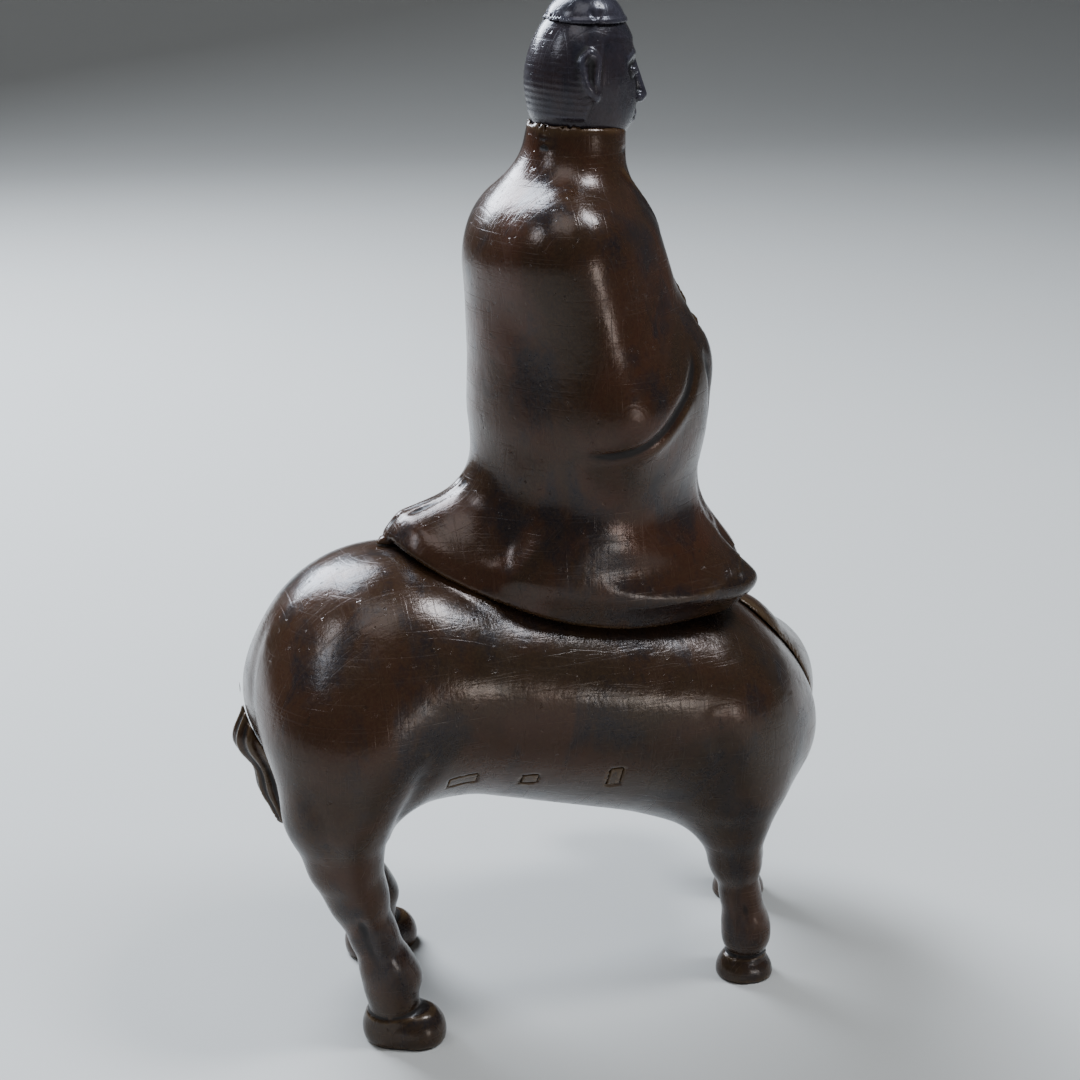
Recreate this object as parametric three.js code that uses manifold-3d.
// A cast bronze statuette: a robed rider sitting on a standing horse that turns its lowered head
// to its left. The horse is hollow with an oval opening in its back; the rider is a second hollow
// casting that rests over the opening and lifts off.
//
// Every casting is described as a blend of rounded limbs and ellipsoids (a signed distance, in
// millimetres, negative inside) and then turned into a closed mesh. The modelling frame has +X the
// way the horse faces, +Y its left and +Z up, with the floor at z = 0. At the end the whole figure
// is moved sideways so that the origin is the middle of its footprint.
import * as THREE from 'three';
import Module from 'manifold-3d';

const wasm = await Module();
wasm.setup();

// ---------------------------------------------------------------- driving dimensions, millimetres
const NEAR = -1; // the horse's right side
const FAR = 1; // the horse's left side

const BODY_CELL = 4; // facet sizes of the castings
const ROBE_CELL = 4;
const HOLLOW_CELL = 6.5;
const NECK_CELL = 3.1;
const HEAD_CELL = 2.6;
const CROWN_CELL = 2.3;
const TAIL_CELL = 2.6;

const JOINT_GAP = 0.3; // between castings that are fitted together
const SEAT_GAP = 0.45; // between the horse's back and the robe that rests on it
const WALL = 4; // thickness of the hollow castings
const SHORTEST_EDGE = 0.08; // edges left by a cut that are shorter than this are closed up
const SLOPE_STEP = 0.05; // over which a shape's slope is measured
const LEAST_SLOPE = 0.25; // squared, so that no point is thrown far off

// Trunk of the horse: barrel, croup and breast
const BARREL = { rear: [-24, 0, 72.6], front: [33, 0, 58.5], rearRadius: 23.5, frontRadius: 24.6 };
const LOIN = [
  [-16, 9, 73, 15.5],
  [32, 9.5, 64, 16],
]; // a roll along each side of the back
const CROUP = { centre: [-30.6, 0, 71.6], radii: [25, 25.6, 25.8] };
const BREAST = { centre: [42.4, 0, 52], radii: [22, 21, 19] };
const TRUNK_BLEND = 8;

// Legs, top to bottom: x, distance from the middle plane, z, radius, share of the step taken
const HIND_LEG = [
  [-38.5, 13, 65, 15.9, 0],
  [-42.5, 16.6, 52, 10.4, 0.2],
  [-42, 17.5, 41, 6.8, 0.5],
  [-39.6, 17.5, 33, 5.4, 0.8],
  [-36.7, 17.5, 24, 4.2, 1],
  [-34, 17.5, 16, 4.9, 1],
  [-33, 17.5, 9, 5.2, 1],
];
const FORE_LEG = [
  [38, 10, 58, 14.5, 0],
  [40.6, 15.7, 44, 9, 0.3],
  [40.6, 16.5, 36, 6.6, 0.7],
  [41.2, 16.5, 28, 4.9, 1],
  [42.8, 16.5, 19, 3.7, 1],
  [44.2, 16.5, 12, 4.4, 1],
  [44.6, 16.5, 8.5, 4.7, 1],
];
const HIND_HOOF = { heel: [-33, 17, 2.6], toe: [-28.6, 19.4, 2], heelRadius: 5.7, toeRadius: 5.3 };
const FORE_HOOF = { heel: [43.6, 16.5, 1], toe: [45, 16.8, 0.6], heelRadius: 4.9, toeRadius: 4.7 };
const FAR_HIND_STEP = 4; // how far the left hooves stand ahead of the right ones
const FAR_FORE_STEP = 13;
const LEG_BLEND = 3;
const HIP_BLEND = 8;
const HOOF_BLEND = 1.6;

// Neck and head of the horse, one casting fitted against the breast
const NECK = [
  [44.5, 4, 65, 14.8],
  [50, 8, 55, 16],
  [56.5, 16, 54, 13.2],
  [60, 24, 51, 11],
  [60, 31, 49, 9.3],
];
const HORSE_FACE = [
  [59, 32, 50, 9],
  [51, 38, 42, 7.6],
  [41, 43, 31, 5.6],
];
const EARS = [
  { root: [59, 30, 57], tip: [57, 28, 66] },
  { root: [63, 36, 55], tip: [63, 37, 64] },
];
const EAR_RADII = [3.6, 3];
const NECK_BLEND = 6;
const FACE_BLEND = 4;

// Tail, short and swung against the left buttock
const TAIL = [
  [-47.5, 11, 80, 3.2],
  [-51.2, 11, 68, 3.8],
  [-53, 10, 58, 4.2],
  [-49.5, 11, 47, 3.4],
  [-47.8, 11.5, 38.5, 2.4],
];
const TAIL_BLEND = 3;

// Robe: upper body, arms folded in long sleeves, lap and tail of the cloth
const CHEST = [
  [13.2, 0, 126, 23.1],
  [8.6, 0, 152, 19.4],
];
const SHOULDERS = { x: 5, y: 10.5, z: 156, radius: 10.4 };
const COLLAR = [
  [9.4, 0, 164, 10.8],
  [10.8, 0, 177, 9.4],
];
const WAIST = [
  [14.2, 0, 122, 20.2],
  [12.6, 0, 104, 19],
];
const SLEEVE_FRONT = [
  [21.4, 0, 133, 14.2],
  [22.5, 0, 100, 12.6],
];
const ARM = [
  [5.6, 12.4, 155, 9.4],
  [13.2, 15, 127, 10.4],
  [27.6, 6, 133, 7.8],
];
const HIP = [2, 12, 94.4, 8.6];
const KNEE = [38.5, 13, 85.5, 7.6];
const FAR_KNEE = [33, 13, 84.5, 7.6]; // the left knee is drawn back a little
const LAP = { centre: [21.5, 0, 90.5], radii: [23.5, 15.5, 10.5] };
const ROBE_TAIL = { centre: [-5.4, 0, 94], radii: [24, 11, 14.6] };
const BACK_STRIP = [
  [-8, 0.5, 104.8, 2.2],
  [-22, 0.8, 99.8, 2],
  [-38, 1.2, 94.6, 1.6],
];
const COLLAR_TOP = 179;
const COLLAR_SLANT = 0.1; // how much lower its front is, for each millimetre
const COLLAR_ROUNDING = 0.8;
const ARM_BLEND = 4;
const SLEEVE_BLEND = 5; // where arms and sleeves meet the body
const THIGH_BLEND = 6;
const STRIP_BLEND = 3;
const BODY_BLEND = 8;
const LAP_BLEND = 14;
const DRAPE_BLEND = 12;
const HEM_THICKNESS = 1.8; // how far the hem stands proud of the horse
const HEM_ROUNDING = 1;
const HEM_LEVEL = 82.5; // lowest line of the hem, along the flank
const HEM_EDGE = 1.2; // the cloth curls in towards the horse, to this at the hem itself
const HEM_CURL = 2; // radius of the curl
const HEM_FREE = 0.14; // and how fast the cloth above it is left free
const HEM_TUCK = 5;
const HEM_RISE = { from: 25, curve: 0.0064 }; // it climbs towards the croup
const HEM_LIFT = { from: 44, curve: 0.03 }; // and in front of the knees

// Oval opening in the back and the locating lip under the rider
const SEAT_CENTRE = [13, 0];
const OPENING_HALF = [19, 11.6];
const LIP_HALF = [18.4, 11];
const THROAT_HALF = [16.2, 8.8];
const OPENING_FLOOR = 70;
const OPENING_TOP = 112;
const LIP_FLOOR = 78.5;
const LIP_TOP = 96;
const RIDER_HOLLOW = [
  [12.5, 0, 104, 14],
  [12, 0, 126, 16],
  [9.5, 0, 147, 12],
];
const HOLLOW_BLEND = 4;
const OVAL_STEPS = 32;

// Rider's head, with the neck that stands in the collar
const RIDER_HEAD = { centre: [12.4, 0, 188.5], radii: [9.8, 9.2, 13] };
const HAIR = { centre: [10.6, 0, 187], radii: [8.2, 9.4, 11.2] };
const HAIR_TAIL = [
  [10, 0, 186, 7.8],
  [10.2, 0, 180, 7.5],
];
const RIDER_NECK = [
  [10.5, 0, 166, 6.2],
  [11, 0, 182, 7],
];
const HEAD_BLEND = 3;
const CROWN = { centre: [12.4, 0, 196.2], radii: [7.8, 7.8, 7.2] };
const CROWN_RIM = 197.2;

// Rectangular plugs that close the core-pin holes of the right flank: x, z, width, height
const PLUGS = {
  flank_plug_front: [12, 53.5, 2.4, 4.6],
  flank_plug_middle: [-5, 54.5, 3, 2.4],
  flank_plug_rear: [-19, 56.5, 6, 2.4],
};
const PLUG_DEPTH = 2.4;
const PLUG_REACH = 12;

// ---------------------------------------------------------------- rounded shapes
// A ball at each end and the cone that touches both
function limb([ax, ay, az], [bx, by, bz], startRadius, endRadius) {
  const [dx, dy, dz] = [bx - ax, by - ay, bz - az];
  const squared = dx * dx + dy * dy + dz * dz;
  const taper = startRadius - endRadius;
  const lean = taper / Math.sqrt((squared - taper * taper) * squared);
  return (x, y, z) => {
    const [px, py, pz] = [x - ax, y - ay, z - az];
    const foot = (px * dx + py * dy + pz * dz) / squared;
    const aside = Math.sqrt(Math.max(px * px + py * py + pz * pz - foot * foot * squared, 0));
    const t = Math.min(1, Math.max(0, foot - lean * aside));
    return Math.hypot(px - t * dx, py - t * dy, pz - t * dz) - startRadius + t * taper;
  };
}

function ellipsoid([cx, cy, cz], [rx, ry, rz]) {
  return (x, y, z) => {
    const [u, v, w] = [(x - cx) / rx, (y - cy) / ry, (z - cz) / rz];
    const scaled = Math.hypot(u, v, w);
    const slope = Math.hypot(u / rx, v / ry, w / rz);
    return (scaled * (scaled - 1)) / Math.max(slope, 1e-9);
  };
}

function softMin(a, b, k) {
  const overlap = Math.max(k - Math.abs(a - b), 0) / k;
  return Math.min(a, b) - overlap * overlap * k * 0.25;
}

function blend(k, ...shapes) {
  return (x, y, z) => shapes.map((shape) => shape(x, y, z)).reduce((a, b) => softMin(a, b, k));
}

function trim(k, shape, keep) {
  return (x, y, z) => -softMin(-shape(x, y, z), -keep(x, y, z), k);
}

function grown(shape, amount) {
  return (x, y, z) => shape(x, y, z) - amount;
}

// A run of limbs through a list of [x, y, z, radius] joints
function chain(k, joints) {
  const limbs = joints.slice(1).map((joint, i) =>
    limb(joints[i].slice(0, 3), joint.slice(0, 3), joints[i][3], joint[3]));
  return blend(k, ...limbs);
}

function mirrored(joints, side) {
  return joints.map(([x, y, z, ...rest]) => [x, side * y, z, ...rest]);
}

// ---------------------------------------------------------------- the horse
function leg(joints, hoof, side, step) {
  const run = mirrored(joints, side).map(([x, y, z, radius, share]) => [x + share * step, y, z, radius]);
  const foot = limb(
    [hoof.heel[0] + step, side * hoof.heel[1], hoof.heel[2]],
    [hoof.toe[0] + step, side * hoof.toe[1], hoof.toe[2]],
    hoof.heelRadius,
    hoof.toeRadius,
  );
  return blend(HOOF_BLEND, chain(LEG_BLEND, run), foot);
}

function trunkShape() {
  return blend(
    TRUNK_BLEND,
    limb(BARREL.rear, BARREL.front, BARREL.rearRadius, BARREL.frontRadius),
    chain(TRUNK_BLEND, mirrored(LOIN, NEAR)),
    chain(TRUNK_BLEND, mirrored(LOIN, FAR)),
    ellipsoid(CROUP.centre, CROUP.radii),
    ellipsoid(BREAST.centre, BREAST.radii),
  );
}

function horseShape() {
  return blend(
    HIP_BLEND,
    trunkShape(),
    leg(HIND_LEG, HIND_HOOF, NEAR, 0),
    leg(HIND_LEG, HIND_HOOF, FAR, FAR_HIND_STEP),
    leg(FORE_LEG, FORE_HOOF, NEAR, 0),
    leg(FORE_LEG, FORE_HOOF, FAR, FAR_FORE_STEP),
  );
}

const HORSE = horseShape();

function neckShape() {
  const ears = EARS.map(({ root, tip }) => limb(root, tip, ...EAR_RADII));
  return blend(FACE_BLEND, chain(NECK_BLEND, NECK), chain(FACE_BLEND, HORSE_FACE), ...ears);
}

// ---------------------------------------------------------------- the rider
function arm(side) {
  return chain(ARM_BLEND, mirrored(ARM, side));
}

function upperBody() {
  const { x, y, z, radius } = SHOULDERS;
  const shoulders = limb([x, -y, z], [x, y, z], radius, radius);
  const torso = blend(BODY_BLEND, chain(BODY_BLEND, CHEST), shoulders, chain(BODY_BLEND, WAIST));
  const front = chain(BODY_BLEND, SLEEVE_FRONT);
  return blend(SLEEVE_BLEND, torso, chain(SLEEVE_BLEND, COLLAR), front, arm(NEAR), arm(FAR));
}

function lap() {
  const nearThigh = chain(THIGH_BLEND, mirrored([HIP, KNEE], NEAR));
  const farThigh = chain(THIGH_BLEND, mirrored([HIP, FAR_KNEE], FAR));
  const tailOfCloth = ellipsoid(ROBE_TAIL.centre, ROBE_TAIL.radii);
  return blend(THIGH_BLEND, ellipsoid(LAP.centre, LAP.radii), nearThigh, farThigh, tailOfCloth);
}

// Height above the curved line of the hem, negative above it
function hemSide(x, y, z) {
  const behind = Math.max(HEM_RISE.from - x, 0);
  const ahead = Math.max(x - HEM_LIFT.from, 0);
  const level = HEM_LEVEL + HEM_RISE.curve * behind * behind + HEM_LIFT.curve * ahead * ahead;
  const slope = 2 * (HEM_RISE.curve * behind + HEM_LIFT.curve * ahead);
  return (level - z) / Math.hypot(1, slope);
}

// Furthest that the cloth stands off the horse: little at the hem, and much more above it
function underCurl(x, y, z) {
  const height = Math.max(-hemSide(x, y, z), 0);
  return HORSE(x, y, z) - HEM_EDGE - Math.sqrt(2 * HEM_CURL * height) - HEM_FREE * height * height;
}

function belowCollar(x, y, z) {
  return z - COLLAR_TOP + COLLAR_SLANT * (x - COLLAR[1][0]);
}

function robeShape() {
  const figure = blend(LAP_BLEND, upperBody(), lap());
  const draped = blend(DRAPE_BLEND, figure, grown(HORSE, HEM_THICKNESS));
  const hemmed = trim(HEM_ROUNDING, trim(HEM_TUCK, draped, underCurl), hemSide);
  return trim(COLLAR_ROUNDING, blend(STRIP_BLEND, hemmed, chain(STRIP_BLEND, BACK_STRIP)), belowCollar);
}

function headShape() {
  const face = ellipsoid(RIDER_HEAD.centre, RIDER_HEAD.radii);
  const hair = blend(HEAD_BLEND, ellipsoid(HAIR.centre, HAIR.radii), chain(HEAD_BLEND, HAIR_TAIL));
  return blend(HEAD_BLEND, face, hair, chain(HEAD_BLEND, RIDER_NECK));
}

// ---------------------------------------------------------------- meshing
// Samples a shape on a grid and returns the corner values and a way to find them
function sampled(shape, low, high, cell) {
  const counts = low.map((start, i) => Math.ceil((high[i] - start) / cell) + 1);
  const at = (i, j, k) => (k * counts[1] + j) * counts[0] + i;
  const values = new Float64Array(counts[0] * counts[1] * counts[2]);
  for (let k = 0; k < counts[2]; k += 1) {
    for (let j = 0; j < counts[1]; j += 1) {
      for (let i = 0; i < counts[0]; i += 1) {
        values[at(i, j, k)] = shape(low[0] + i * cell, low[1] + j * cell, low[2] + k * cell);
      }
    }
  }
  return { counts, at, values };
}

// The middle of the points where a cell's edges cross the surface, or null if none do
function cellPoint(grid, i, j, k) {
  const sum = [0, 0, 0];
  let crossings = 0;
  const corner = (c) => [c & 1, (c >> 1) & 1, (c >> 2) & 1];
  for (let a = 0; a < 8; a += 1) {
    for (const bit of [1, 2, 4]) {
      const b = a | bit;
      if (b === a) continue;
      const [pa, pb] = [corner(a), corner(b)];
      const va = grid.values[grid.at(i + pa[0], j + pa[1], k + pa[2])];
      const vb = grid.values[grid.at(i + pb[0], j + pb[1], k + pb[2])];
      if (va < 0 === vb < 0) continue;
      const t = va / (va - vb);
      for (let n = 0; n < 3; n += 1) sum[n] += pa[n] + t * (pb[n] - pa[n]);
      crossings += 1;
    }
  }
  return crossings ? sum.map((total) => total / crossings) : null;
}

// Moves a point onto the surface along the steepest slope
function settle(shape, point) {
  const [x, y, z] = point;
  const h = SLOPE_STEP;
  const value = shape(x, y, z);
  const slope = [
    shape(x + h, y, z) - shape(x - h, y, z),
    shape(x, y + h, z) - shape(x, y - h, z),
    shape(x, y, z + h) - shape(x, y, z - h),
  ].map((difference) => difference / (2 * h));
  const squared = Math.max(slope[0] ** 2 + slope[1] ** 2 + slope[2] ** 2, LEAST_SLOPE);
  return point.map((coordinate, n) => coordinate - (value * slope[n]) / squared);
}

function solid(shape, low, high, cell) {
  const start = low.map((value) => value - cell);
  const grid = sampled(shape, start, high, cell);
  const [nx, ny, nz] = grid.counts;
  const index = new Map();
  const points = [];
  for (let k = 0; k < nz - 1; k += 1) {
    for (let j = 0; j < ny - 1; j += 1) {
      for (let i = 0; i < nx - 1; i += 1) {
        const middle = cellPoint(grid, i, j, k);
        if (!middle) continue;
        const placed = [i, j, k].map((n, axis) => start[axis] + (n + middle[axis]) * cell);
        index.set(grid.at(i, j, k), points.length);
        points.push(settle(shape, settle(shape, placed)));
      }
    }
  }
  const faces = [];
  const steps = [[1, 0, 0], [0, 1, 0], [0, 0, 1]];
  for (let k = 1; k < nz - 1; k += 1) {
    for (let j = 1; j < ny - 1; j += 1) {
      for (let i = 1; i < nx - 1; i += 1) {
        const inside = grid.values[grid.at(i, j, k)] < 0;
        steps.forEach((step, axis) => {
          const next = grid.values[grid.at(i + step[0], j + step[1], k + step[2])] < 0;
          if (inside === next) return;
          const u = steps[(axis + 1) % 3];
          const v = steps[(axis + 2) % 3];
          const ring = [[0, 0], [1, 0], [1, 1], [0, 1]].map(([p, q]) =>
            index.get(grid.at(i - p * u[0] - q * v[0], j - p * u[1] - q * v[1], k - p * u[2] - q * v[2])));
          if (!inside) ring.reverse();
          faces.push(...splitQuad(points, ring));
        });
      }
    }
  }
  return new wasm.Manifold(new wasm.Mesh({
    numProp: 3,
    vertProperties: Float32Array.from(points.flat()),
    triVerts: Uint32Array.from(faces),
  }));
}

// Two triangles along the shorter diagonal
function splitQuad(points, [a, b, c, d]) {
  const span = (p, q) => Math.hypot(...points[p].map((value, n) => value - points[q][n]));
  return span(a, c) <= span(b, d) ? [a, b, c, a, c, d] : [a, b, d, b, c, d];
}

function toSolid(geometry) {
  const bare = geometry.index ? geometry.toNonIndexed() : geometry;
  const position = bare.getAttribute('position');
  const found = new Map();
  const points = [];
  const corners = [];
  for (let i = 0; i < position.count; i += 1) {
    const point = [position.getX(i), position.getY(i), position.getZ(i)];
    const key = point.map((value) => value.toFixed(4)).join();
    if (!found.has(key)) {
      found.set(key, found.size);
      points.push(...point);
    }
    corners.push(found.get(key));
  }
  return new wasm.Manifold(new wasm.Mesh({
    numProp: 3,
    vertProperties: Float32Array.from(points),
    triVerts: Uint32Array.from(corners),
  }));
}

function block([lx, ly, lz], [hx, hy, hz]) {
  const geometry = new THREE.BoxGeometry(hx - lx, hy - ly, hz - lz);
  geometry.translate((lx + hx) / 2, (ly + hy) / 2, (lz + hz) / 2);
  return toSolid(geometry);
}

function ovalPrism([halfX, halfY], bottom, top) {
  const outline = new THREE.Shape().absellipse(SEAT_CENTRE[0], SEAT_CENTRE[1], halfX, halfY, 0, 2 * Math.PI);
  const geometry = new THREE.ExtrudeGeometry(outline, {
    depth: top - bottom,
    bevelEnabled: false,
    curveSegments: OVAL_STEPS,
  });
  geometry.translate(0, 0, bottom);
  return toSolid(geometry);
}

// ---------------------------------------------------------------- castings
// Boxes that hold each casting while it is meshed
const HORSE_BOX = [[-68, -36, -8], [76, 36, 104]];
const NECK_BOX = [[20, -20, 14], [84, 58, 88]];
const TAIL_BOX = [[-64, 0, 28], [-42, 22, 90]];
const HEAD_BOX = [[-6, -16, 154], [30, 16, 208]];
const ROBE_BOX = [[-48, -36, 70], [62, 36, 192]];
const RIDER_HOLLOW_BOX = [[-10, -22, 84], [36, 22, 166]];
const CROWN_BOX = [[0, -12, 188], [24, 12, 210]];
const ABOVE_FLOOR = [[-100, -100, 0], [100, 100, 150]];
const ABOVE_RIM = [[-20, -20, CROWN_RIM], [40, 20, 230]];
const FLANK_STEPS = 40;

function horseSolid(growth) {
  return solid(grown(HORSE, growth), ...HORSE_BOX, BODY_CELL);
}

function plugBlock([x, z, width, height], growth) {
  const surface = surfaceAtFlank(x, z);
  const low = [x - width / 2 - growth, surface - PLUG_REACH, z - height / 2 - growth];
  const high = [x + width / 2 + growth, surface + PLUG_DEPTH + growth, z + height / 2 + growth];
  return block(low, high);
}

// The y of the right flank at a given x and z
function surfaceAtFlank(x, z) {
  let y = HORSE_BOX[0][1];
  for (let i = 0; i < FLANK_STEPS; i += 1) y += HORSE(x, y, z);
  return y;
}

function horseBody() {
  const hollow = solid(grown(trunkShape(), -WALL), ...HORSE_BOX, HOLLOW_CELL);
  const opening = ovalPrism(OPENING_HALF, OPENING_FLOOR, OPENING_TOP);
  let body = horseSolid(0).intersect(block(...ABOVE_FLOOR)).subtract(hollow.add(opening));
  for (const plug of Object.values(PLUGS)) body = body.subtract(plugBlock(plug, JOINT_GAP));
  return body;
}

function flankPlug(plug) {
  return plugBlock(plug, 0).intersect(horseSolid(0));
}

function neckAndHead() {
  return solid(neckShape(), ...NECK_BOX, NECK_CELL).subtract(horseSolid(JOINT_GAP));
}

function tail() {
  return solid(chain(TAIL_BLEND, TAIL), ...TAIL_BOX, TAIL_CELL).subtract(horseSolid(JOINT_GAP));
}

function headSolid(growth) {
  return solid(grown(headShape(), growth), ...HEAD_BOX, HEAD_CELL);
}

function robe() {
  const cloth = solid(robeShape(), ...ROBE_BOX, ROBE_CELL).subtract(horseSolid(SEAT_GAP));
  const lip = ovalPrism(LIP_HALF, LIP_FLOOR, LIP_TOP);
  const throat = ovalPrism(THROAT_HALF, OPENING_FLOOR, OPENING_TOP);
  const hollow = solid(chain(HOLLOW_BLEND, RIDER_HOLLOW), ...RIDER_HOLLOW_BOX, HOLLOW_CELL);
  return cloth.add(lip).subtract(throat.add(hollow)).subtract(headSolid(JOINT_GAP));
}

function crown() {
  const cap = solid(ellipsoid(CROWN.centre, CROWN.radii), ...CROWN_BOX, CROWN_CELL);
  return cap.intersect(block(...ABOVE_RIM)).subtract(headSolid(JOINT_GAP));
}

// ---------------------------------------------------------------- materials
function bronze(color, roughness) {
  return new THREE.MeshStandardMaterial({ color, roughness, metalness: 0.85 });
}

const darkBronze = () => bronze(0x3f2e24, 0.32);
const robeBronze = () => bronze(0x4a2f20, 0.3);
const headBronze = () => bronze(0x3c3a42, 0.34);
const plugBronze = () => bronze(0x5a4a30, 0.42);

// ---------------------------------------------------------------- assembly
const group = new THREE.Group();

// Draws the two ends of every very short edge together and drops the triangles this flattens
function withoutShortEdges(position, corners) {
  const stands = Array.from({ length: position.length / 3 }, (_, i) => i);
  const home = (i) => {
    let found = i;
    while (stands[found] !== found) found = stands[found];
    return found;
  };
  for (let f = 0; f < corners.length; f += 3) {
    for (let e = 0; e < 3; e += 1) {
      const a = corners[f + e];
      const b = corners[f + ((e + 1) % 3)];
      const span = Math.hypot(...[0, 1, 2].map((n) => position[3 * a + n] - position[3 * b + n]));
      if (span < SHORTEST_EDGE) stands[home(b)] = home(a);
    }
  }
  const kept = [];
  for (let f = 0; f < corners.length; f += 3) {
    const [a, b, c] = [home(corners[f]), home(corners[f + 1]), home(corners[f + 2])];
    if (a !== b && b !== c && c !== a) kept.push(a, b, c);
  }
  return kept;
}

function addCasting(name, casting, material) {
  const { vertProperties, triVerts } = casting.getMesh();
  const geometry = new THREE.BufferGeometry();
  geometry.setAttribute('position', new THREE.BufferAttribute(vertProperties, 3));
  geometry.setIndex(withoutShortEdges(vertProperties, triVerts));
  geometry.computeVertexNormals();
  const mesh = new THREE.Mesh(geometry, material);
  mesh.name = name;
  group.add(mesh);
}

addCasting('horse_body', horseBody(), darkBronze());
addCasting('horse_neck_head', neckAndHead(), darkBronze());
addCasting('horse_tail', tail(), darkBronze());
for (const [name, plug] of Object.entries(PLUGS)) addCasting(name, flankPlug(plug), plugBronze());
addCasting('rider_robe', robe(), robeBronze());
addCasting('rider_head', headSolid(0), headBronze());
addCasting('topknot_crown', crown(), headBronze());

const bounds = new THREE.Box3().setFromObject(group);
const middle = bounds.getCenter(new THREE.Vector3());
for (const mesh of group.children) mesh.geometry.translate(-middle.x, -middle.y, 0);

export default group;
